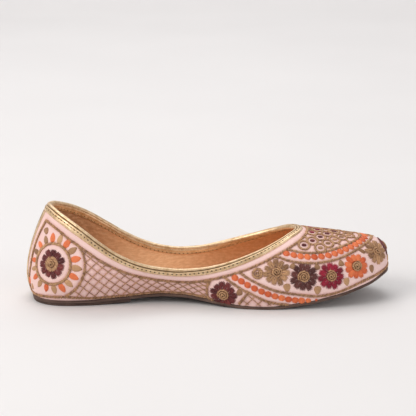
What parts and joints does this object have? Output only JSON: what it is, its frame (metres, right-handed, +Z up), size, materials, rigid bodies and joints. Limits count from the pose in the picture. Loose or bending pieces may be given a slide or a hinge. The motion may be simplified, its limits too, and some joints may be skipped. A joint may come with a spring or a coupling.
{
  "type": "mojari shoe",
  "caption": "Flat slip-on mojari with a hollow embroidered upper, bound low collar, gold back strip, upturned rounded toe, thin leather sole and heel lift.",
  "frame": {"origin": "on the floor, under the middle of the shoe's overall box", "axes": "+X points to the toe, +Y to one side and +Z up; the shoe is the same on both sides of the XZ plane"},
  "size_m": [0.2516, 0.0752, 0.0667],
  "materials": {
    "sole_leather": "brown vegetable tanned sole leather, matt",
    "lift_leather": "darker brown leather layer, matt",
    "insole_leather": "tan lining leather, soft sheen",
    "upper_fabric": "blush pink fabric over leather, covered in thread embroidery",
    "gold_strip": "gold foil leather ribbon",
    "gold_binding": "pale gold foil leather, crackled"
  },
  "bodies": {
    "root": {"outsole": "sole_leather", "heel_lift": "lift_leather", "insole": "insole_leather", "upper": "upper_fabric", "back_strip": "gold_strip", "collar_binding": "gold_binding"}
  },
  "joints": []
}
